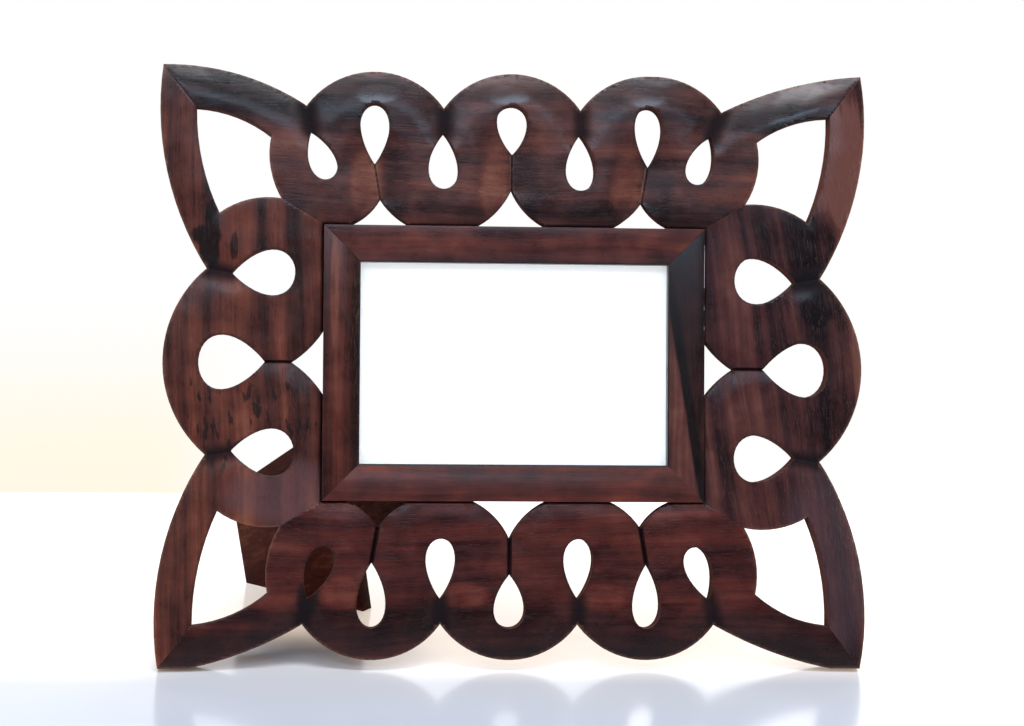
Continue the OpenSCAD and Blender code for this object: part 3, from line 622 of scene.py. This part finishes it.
def carve(bm, rims):
    front, back = carving["front"], carving["back"]
    vee, halfVee = carving["vee"]
    facet, wobble, marks = carving["facet"], carving["wobble"], carving["marks"]
    nearCrease = bm.verts.layers.float.new("crease")
    nearArris = bm.verts.layers.float.new("arris")
    nearRim = bm.verts.layers.float.new("rim")
    for v in bm.verts:
        x, z = v.co.x, v.co.z
        far = {k: rims[k].find((x, 0, z))[2] for k in rims}
        level = carving["top" if z > 0 else "bottom"]
        upright = carving["right" if x > 0 else "left"]
        # In the horns one board's carving passes into the next one's
        share = 0.5 + (abs(x) - carving["mouldX"] - abs(z) + carving["mouldZ"]) / carving["hornReach"]
        share = min(1.0, max(0.0, share))
        own = {k: tuple(blend(a, b, share) for a, b in zip(level[k], upright[k]))
               for k in level if k != "seamShade"}
        creaseShade = blend(level["seamShade"], upright["seamShade"], share)
        crease = min(far["seam"], far["valley"], far["flat"])
        surface = front + vee * fade(crease, halfVee)
        # Worked out in millimetres, where the powers stay near 1
        meeting = carving["meeting"]
        depth = sum((own[k][0] * fade(far[k], own[k][1]) ** power * 1000) ** meeting
                    for k, power in carving["rolls"].items()) ** (1 / meeting) / 1000
        depth += max(own[cut][0] * fade(far[k], own[cut][1])
                     for k, cut in (("flat", "jointCut"), ("valley", "valleyCut"), ("seam", "seamCut")))
        begun = min(1.0, max(0.0, (x - facet["x"]) / facet["run"]))
        depth += begun * max(0.0, (z - facet["z"]) * facet["slope"])
        unevenness = 1 + noise.noise(Vector((x * wobble["fine"], 0.3, z * wobble["fine"])))
        depth += unevenness * wobble["deep"] + wobble["least"] + scoops(x, z)
        depth = min(max(0.0, depth), carving["deepest"])
        if v.co.y < surface + carving["onFront"]:
            v.co.y = front + depth if crease < carving["inVee"] else v.co.y + depth
            v[nearCrease] = max(1 - far["valley"] / marks["valley"],
                                creaseShade - far["seam"] / (own["seamCut"][1] + marks["besideCut"]),
                                1 - far["flat"] / (own["jointCut"][1] + marks["besideCut"]), 0.0)
            v[nearArris] = fade(min(far["outside"], far["lobe"]), marks["arris"])
            v[nearRim] = fade(min(far["gap"], far["hornHole"], far["drop"]), marks["rim"])
        else:
            # The walls shrink to meet the lowered front
            v.co.y = back - (back - v.co.y) * (back - front - depth) / (back - surface)

copies = {name: copyNode(node) for name, node in boards.items()}
rims = readRims(copies)
for name, bm in copies.items():
    softenEdges(bm, [edge for edge, _ in frontRim(bm)], carving["arris"])
    cutCreases(bm, carving[name]["seamCut"][1])
    cutGrid(bm, carving["step"])
    carve(bm, rims)
    bmesh.ops.triangulate(bm, faces=bm.faces)
    bm.normal_update()
    sawn = bm.faces.layers.float.new("sawn")
    for face in bm.faces:
        face[sawn] = float(face.normal.y > -0.3)
    print("  carved", name, len(bm.faces), "triangles")
    makePiece("carved_" + name, bm, "frame",
              woodPaint("wood_" + name, wood[name], True), boards[name])
print("fretwork carved")


rails = {"top": "moulding_top", "bottom": "moulding_bottom",
         "left": "moulding_left", "right": "moulding_right"}
# As the boards' wood. "dull" roughens it.
railWood = {
    "top": {
        "along": "x", "shift": (8.3, 3.1, 2.0), "slope": 0.01, "tone": (0.86, 0.80, 0.88),
        "bands": 0.5, "dashes": 0.2, "stainsAndPaintedLight": [(0.080, 0.056, 0.018, 0.012, 0.12)]},
    "bottom": {
        "along": "x", "shift": (9.7, 6.4, 0.1), "slope": 0.015, "tone": (0.98, 0.60, 0.54),
        "bands": 0.5, "dashes": 0.2, "dull": 0.16},
    "left": {
        "along": "z", "shift": (11.2, 1.9, 3.3), "slope": -0.01, "tone": (0.62, 0.50, 0.50),
        "bands": 0.8, "dashes": 0.2, "shade": ("x", -0.0835, -0.0775, 0.16),
        # The lighter stripe on the rail's outer part is a painted highlight
        "stainsAndPaintedLight": [(-0.0852, 0.034, 0.0024, 0.030, -0.28)]},
    "right": {
        "along": "z", "shift": (13.9, 7.7, 4.2), "slope": 0.02, "tone": (0.17, 0.15, 0.22),
        "bands": 1.0, "dashes": 0.3, "dull": 0.07,
        "wedge": {"x": 0.0779, "slope": 0.166, "ragged": 0.002, "soft": 0.0004, "tone": (0.72, 0.76, 0.90),
                  "line": 0.0020, "lineEdge": (0.0036, 0.0012), "lineInk": 0.85},
        "glue": {"x": (0.0899, 0.0902), "z": (0.016, 0.060), "fade": 0.003,
                 "ragged": 1.5, "broken": (0.36, 0.44), "strength": 0.6, "colour": (0.30, 0.29, 0.31)}},
}
planed = {"sharp": 30, "width": 0.0007, "segments": 3}  # the planed edges of rails and leg

def softenPlaned(bm):
    softenEdges(bm, sharpEdges(bm, planed["sharp"]), planed["width"], planed["segments"])

for name, node in rails.items():
    bm = copyNode(node)
    softenPlaned(bm)
    makePiece("moulding_rail_" + name, bm, "frame",
              woodPaint("moulding_wood_" + name, railWood[name], False), node)
print("moulding made")


glass = {"smears": 35, "rough": 0.03, "smearRough": 0.05, "gloss": (1, 1, 1), "clear": (0.975, 0.985, 0.98),
         "index": 1.45, "shine": 0.8}
paper = {"fibre": 1400, "cloud": 60, "white": (0.93, 0.93, 0.93), "cream": (0.955, 0.95, 0.945),
         "glow": (0.97, 0.98, 1.0), "glowStrength": 0.5, "rough": 0.75, "fibreRough": 0.15,
         "relief": (0.00003, 0.4)}
card = {"dark": (0.25, 0.2, 0.14), "light": (0.42, 0.34, 0.24), "speck": (0.1, 0.07, 0.05)}
hardboard = {"dark": (0.11, 0.062, 0.034), "light": (0.23, 0.14, 0.08), "speck": (0.05, 0.025, 0.015),
             "sharp": 40, "edge": 0.0003}

def glassPaint():
    paint = Paint("window_glass")
    smear = paint.grain(paint.place(), glass["smears"], 4)
    shine = paint.node("ShaderNodeBsdfGlossy", None, {
        "Color": glass["gloss"], "Roughness": glass["rough"] + smear * glass["smearRough"]})
    clear = paint.node("ShaderNodeBsdfTransparent", None, {"Color": glass["clear"]})
    share = paint.node("ShaderNodeFresnel", None, {"IOR": glass["index"]}) * glass["shine"]
    return paint.finish(paint.node("ShaderNodeMixShader", None, {0: share, 1: clear, 2: shine}))

def paperPaint():
    paint = Paint("photo_paper")
    place = paint.place()
    fibre = paint.grain(place, paper["fibre"], 4, 0.6)
    cloud = paint.grain(place, paper["cloud"], 3)
    colour = paint.mix(cloud, paper["white"], paper["cream"])
    # The sheet glows a little: painted light that keeps it white
    return paint.finish(paint.node("ShaderNodeBsdfPrincipled", None, {
        "Base Color": colour, "Roughness": paper["rough"] + fibre * paper["fibreRough"],
        "Emission Color": paper["glow"], "Emission Strength": paper["glowStrength"],
        "Normal": paint.bump(fibre, *paper["relief"])}))

def boardPaint(name, plan):
    # Pressed fibres in two tones with dark specks
    paint = Paint(name)
    place = paint.place()
    fleck = paint.grain(place, 900, 4, 0.7)
    cloud = paint.grain(place, 45, 4)
    colour = paint.mix(paint.ease(fleck * 0.6 + cloud * 0.4, 0.38, 0.64), plan["dark"], plan["light"])
    colour = paint.mix(paint.ease(paint.grain(place, 2300, 2), 0.64, 0.7) * 0.6, colour, plan["speck"])
    return paint.finish(paint.node("ShaderNodeBsdfPrincipled", None, {
        "Base Color": colour, "Roughness": 0.62 + fleck * 0.25, "Normal": paint.bump(fleck, 0.0001, 0.5)}))

def dress(node, material):
    nodes[node].data.materials.clear()
    nodes[node].data.materials.append(material)

dress("glass_pane", glassPaint())
dress("picture_sheet", paperPaint())
dress("packing_card", boardPaint("grey_card", card))
bm = copyNode("backing_board")
softenEdges(bm, sharpEdges(bm, hardboard["sharp"]), hardboard["edge"])
makePiece("hardboard_back", bm, "frame", boardPaint("hardboard", hardboard), "backing_board")
print("glass, sheet and backing made")


leg = {
    "angle": math.radians(34.4), "shift": (3.3, 8.8, 1.1),
    "swing": (5, 12, 6, 0.015), "bands": (5, 90, 30), "streaks": (20, 480, 260), "pores": (170, 2600, 1900),
    "colours": [(0.30, (0.014, 0.003, 0.002)), (0.42, (0.036, 0.0055, 0.003)),
                (0.52, (0.062, 0.0105, 0.006)), (0.66, (0.14, 0.042, 0.020))],
    "inPores": (0.02, 0.008, 0.006), "rough": 0.42, "coat": 0.05, "coatRough": 0.35, "specular": 0.08,
    "relief": (0.00008, 0.6),
}

def legPaint():
    paint = Paint("leg_wood")
    x, y, z = paint.split(paint.place())
    # The grain runs down the leg's length
    turn = leg["angle"]
    u = x * math.cos(turn) + z * math.sin(turn)
    v = z * math.cos(turn) - x * math.sin(turn)
    a, b, c = leg["shift"]
    along, across, inward, reach = leg["swing"]
    swing = paint.grain(paint.join(u * along + a, v * across + b, y * inward + c), 1, 2)
    v = v + (swing - 0.5) * reach
    along, across, inward = leg["bands"]
    bands = paint.grain(paint.join(u * along + b, v * across + a, y * inward + c), 1, 3, 0.55)
    along, across, inward = leg["streaks"]
    streaks = paint.grain(paint.join(u * along + c, v * across + b, y * inward + a), 1, 4, 0.6)
    along, across, inward = leg["pores"]
    pores = paint.ease(paint.grain(paint.join(u * along, v * across, y * inward), 1, 1), 0.6, 0.7)
    colour = paint.ramp(bands * 0.6 + streaks * 0.4, leg["colours"])
    colour = paint.mix(pores * 0.5, colour, leg["inPores"])
    return paint.finish(paint.node("ShaderNodeBsdfPrincipled", None, {
        "Base Color": colour, "Roughness": leg["rough"] + streaks * 0.2, "Coat Weight": leg["coat"],
        "Coat Roughness": leg["coatRough"], "Specular IOR Level": leg["specular"],
        "Normal": paint.bump(streaks * 0.5 - pores * 0.8, *leg["relief"])}))

bm = copyNode("easel_leg")
softenPlaned(bm)
makePiece("easel_leg_board", bm, "leg", legPaint(), "easel_leg")
print("leg made")


brass = {"bright": (0.66, 0.47, 0.21), "tarnish": (0.32, 0.2, 0.085), "rough": 0.26, "edge": 0.00018}
steel = {"bright": (0.6, 0.59, 0.57), "tarnish": (0.36, 0.33, 0.3), "rough": 0.22, "edge": 0.00015,
         "slotWidth": 0.0006, "slotDepth": 0.0004}
scratches = {"turn": (0.3, 0.5, 0.8), "fine": (300, 6000, 6000)}
sharpMetal = 40  # degrees
# The CAD nodes made of each metal, and the bodies that they move with
brassNodes = {"turn_button_top": "button_top", "turn_button_bottom": "button_bottom",
              "turn_button_left": "button_left", "turn_button_right": "button_right",
              "hinge_leaf_board": "frame", "hinge_leaf_leg": "leg", "hinge_pin": "frame"}
steelNodes = {"turn_button_screws": "frame", "hinge_screws_board": "frame", "hinge_screws_leg": "leg"}

def metalPaint(name, metal):
    paint = Paint(name)
    place = paint.place()
    cloud = paint.grain(place, 160, 4, 0.6)
    scratch = paint.grain(paint.node("ShaderNodeMapping", None, {
        "Vector": place, "Rotation": scratches["turn"], "Scale": scratches["fine"]}), 1, 2)
    base = paint.mix(paint.ease(cloud, 0.42, 0.7), metal["bright"], metal["tarnish"])
    return paint.finish(paint.node("ShaderNodeBsdfPrincipled", None, {
        "Base Color": base, "Metallic": 1.0,
        "Roughness": metal["rough"] + cloud * 0.22 + (scratch - 0.5) * 0.12,
        "Normal": paint.bump(scratch * 0.5 + cloud, 0.00003, 0.4)}))

def islandsOf(bm):
    # The faces of each separate screw
    seen, islands = set(), []
    for first in bm.faces:
        island, queue = [], [first]
        while queue:
            face = queue.pop()
            if face not in seen:
                seen.add(face)
                island.append(face)
                queue += [f for e in face.edges for f in e.link_faces]
        if island:
            islands.append(island)
    return islands

def slotHeads(bm, width, depth):
    # A saw slot across each screw's head, which is its largest flat face
    heads = [max(island, key=lambda f: f.calc_area()) for island in islandsOf(bm)]
    for head in heads:
        middle, out = head.calc_center_median(), head.normal.copy()
        across = out.orthogonal().normalized()
        across.rotate(Matrix.Rotation(middle.x * 400, 3, out))  # no two slots lie alike
        parts = [head]
        for side in (-1, 1):
            made = bmesh.ops.bisect_plane(bm, geom=partsOf(parts), dist=1e-6, plane_no=across,
                                          plane_co=middle + across * side * width / 2)
            parts = [g for g in made["geom"] if isinstance(g, bmesh.types.BMFace)]
        strip = [f for f in parts if abs((f.calc_center_median() - middle).dot(across)) < width * 0.4]
        made = bmesh.ops.extrude_face_region(bm, geom=strip)
        floor = [g for g in made["geom"] if isinstance(g, bmesh.types.BMVert)]
        bmesh.ops.translate(bm, verts=floor, vec=-out * depth)
        bmesh.ops.delete(bm, geom=[f for f in strip if f.is_valid], context="FACES_ONLY")
    bm.normal_update()

dullBrass = metalPaint("dull_brass", brass)
brightSteel = metalPaint("bright_steel", steel)
for node, body in brassNodes.items():
    bm = copyNode(node)
    softenEdges(bm, sharpEdges(bm, sharpMetal), brass["edge"])
    makePiece(node + "_brass", bm, body, dullBrass, node)
for node, body in steelNodes.items():
    bm = copyNode(node)
    softenEdges(bm, sharpEdges(bm, sharpMetal), steel["edge"])
    slotHeads(bm, steel["slotWidth"], steel["slotDepth"])
    makePiece(node + "_steel", bm, body, brightSteel, node)
print("hinge, buttons and screws made")


# Pairs are where, along the table's depth or width, one look passes into the other
table = {
    "half": 4.0, "far": 0.23,
    # Its front is darker and bluer than its back: painted shade and reflection of the frame
    "front": (0.63, 0.675, 0.765), "back": (0.92, 0.875, 0.83), "turns": (-0.16, 0.06),
    "rough": 0.15, "specular": 0.9, "coat": 0.65, "coatRough": 0.12,
    # To the camera the table glows warm behind the frame: a painted pool of light
    "glow": 0.58, "glowFrom": (-0.085, -0.045), "warm": (1.0, 0.80, 0.62), "white": (1.0, 0.95, 0.90),
    "whitens": (-0.03, 0.09),
    # A painted shadow before the leg, where next to nothing glows
    "shadow": 0.95, "shadowLeft": (-0.19, -0.14), "shadowRight": (-0.02, -0.08), "shadowBack": (0.0, -0.04),
    # Far in front it is seen plain and pale, for views from behind
    "plain": (0.86, 0.87, 0.89), "plainGlow": 0.22, "plainFrom": (-0.17, -0.34),
}
lamps = {
    # place, width, height, power in watts, colour
    "window": ((-0.30, -1.60, 1.32), 1.8, 0.35, 15, (0.62, 0.80, 1.0)),
    "above": ((0.0, -0.75, 1.90), 1.4, 0.6, 30, (0.88, 0.94, 1.0)),
    "right": ((2.0, -1.1, 0.75), 0.8, 0.9, 26, (1.0, 0.78, 0.62)),
    "left": ((-1.9, -1.2, 0.70), 0.7, 0.9, 16, (1.0, 0.80, 0.66)),
    "behind": ((0.9, 1.9, 1.5), 1.4, 1.0, 16, (1.0, 0.97, 0.93)),
}
lampAim = (0, 0, 0.14)
room = {"dim": 0.07, "brightens": (0.0, 0.4), "low": (0.18, 0.18, 0.19), "high": (0.28, 0.30, 0.34),
        "rises": (-0.2, 0.9), "cream": (1.0, 0.945, 0.79), "creamLeft": (-0.03, -0.075),
        "creamLow": (-0.20, -0.275)}

def tablePaint():
    paint = Paint("white_table")
    cloud = paint.grain(paint.place(), 3, 3)
    x, y, _ = paint.split(paint.place())
    colour = paint.mix(paint.ease(y + (cloud - 0.5) * 0.1, *table["turns"]), table["front"], table["back"])
    # The camera sees the table near white, with a painted glow behind the frame, and the frame's shadow and
    # reflection kept
    seen = paint.node("ShaderNodeLightPath", out="Is Camera Ray")
    behind = paint.ease(y, *table["glowFrom"]) * (
        1 - table["shadow"] * paint.ease(x, *table["shadowLeft"]) * paint.ease(x, *table["shadowRight"])
        * paint.ease(y, *table["shadowBack"]))
    warmth = paint.mix(paint.ease(y, *table["whitens"]), table["warm"], table["white"])
    varnish = paint.node("ShaderNodeBsdfPrincipled", None, {
        "Base Color": colour, "Roughness": table["rough"] + cloud * 0.08,
        "Specular IOR Level": table["specular"], "Coat Weight": table["coat"],
        "Coat Roughness": table["coatRough"],
        "Emission Color": paint.mix(seen * behind, (0, 0, 0), warmth), "Emission Strength": table["glow"]})
    plain = paint.node("ShaderNodeBsdfPrincipled", None, {
        "Base Color": table["plain"], "Roughness": 0.9, "Specular IOR Level": 0.0,
        "Emission Color": (1, 1, 1), "Emission Strength": table["plainGlow"]})
    fore = seen * paint.ease(y, *table["plainFrom"])
    return paint.finish(paint.node("ShaderNodeMixShader", None, {0: fore, 1: varnish, 2: plain}))

def makeTable():
    bm = bmesh.new()
    bmesh.ops.create_grid(bm, x_segments=1, y_segments=1, size=table["half"])
    bmesh.ops.translate(bm, verts=bm.verts, vec=(0, table["far"] - table["half"], 0))
    mesh = bpy.data.meshes.new("table_top")
    bm.to_mesh(mesh)
    bm.free()
    mesh.materials.append(tablePaint())
    top = bpy.data.objects.new("table_top", mesh)
    bpy.context.scene.collection.objects.link(top)

def makeLamps():
    for name, (place, width, height, power, colour) in lamps.items():
        data = bpy.data.lights.new(name, "AREA")
        data.shape = "RECTANGLE"
        data.size, data.size_y = width, height
        data.energy = power
        data.color = colour
        lamp = bpy.data.objects.new(name, data)
        turn = (Vector(lampAim) - Vector(place)).to_track_quat("-Z", "Y").to_matrix().to_4x4()
        lamp.matrix_world = Matrix.Translation(place) @ turn
        bpy.context.scene.collection.objects.link(lamp)

def makeRoom():
    # White to the camera; gloss and glass see it too, dimmer towards the room behind the camera
    paint = Paint("room", room=True)
    camera, glossy, clear = paint.outputs(
        paint.node("ShaderNodeLightPath"), "Is Camera Ray", "Is Glossy Ray", "Is Transmission Ray")
    across, deep, up = paint.split(paint.node("ShaderNodeTexCoord", out="Generated"))
    toWall = paint.ease(deep, *room["brightens"], room["dim"], 1.0)
    seen = paint.mix(toWall, (0, 0, 0), (1, 1, 1))
    ambient = paint.mix(paint.ease(up, *room["rises"]), room["low"], room["high"])
    colour = paint.mix(glossy.larger(clear), ambient, seen)
    # The wall turns a little cream towards the left
    cream = paint.ease(across, *room["creamLeft"]) * paint.ease(up, *room["creamLow"])
    colour = paint.mix(camera, colour, paint.mix(cream, (1, 1, 1), room["cream"]))
    bpy.context.scene.world = paint.finish(paint.node("ShaderNodeBackground", None, {0: colour, 1: 1.0}))

makeTable()
makeLamps()
makeRoom()
bpy.context.scene.view_settings.view_transform = "Standard"
print("table and lamps made")
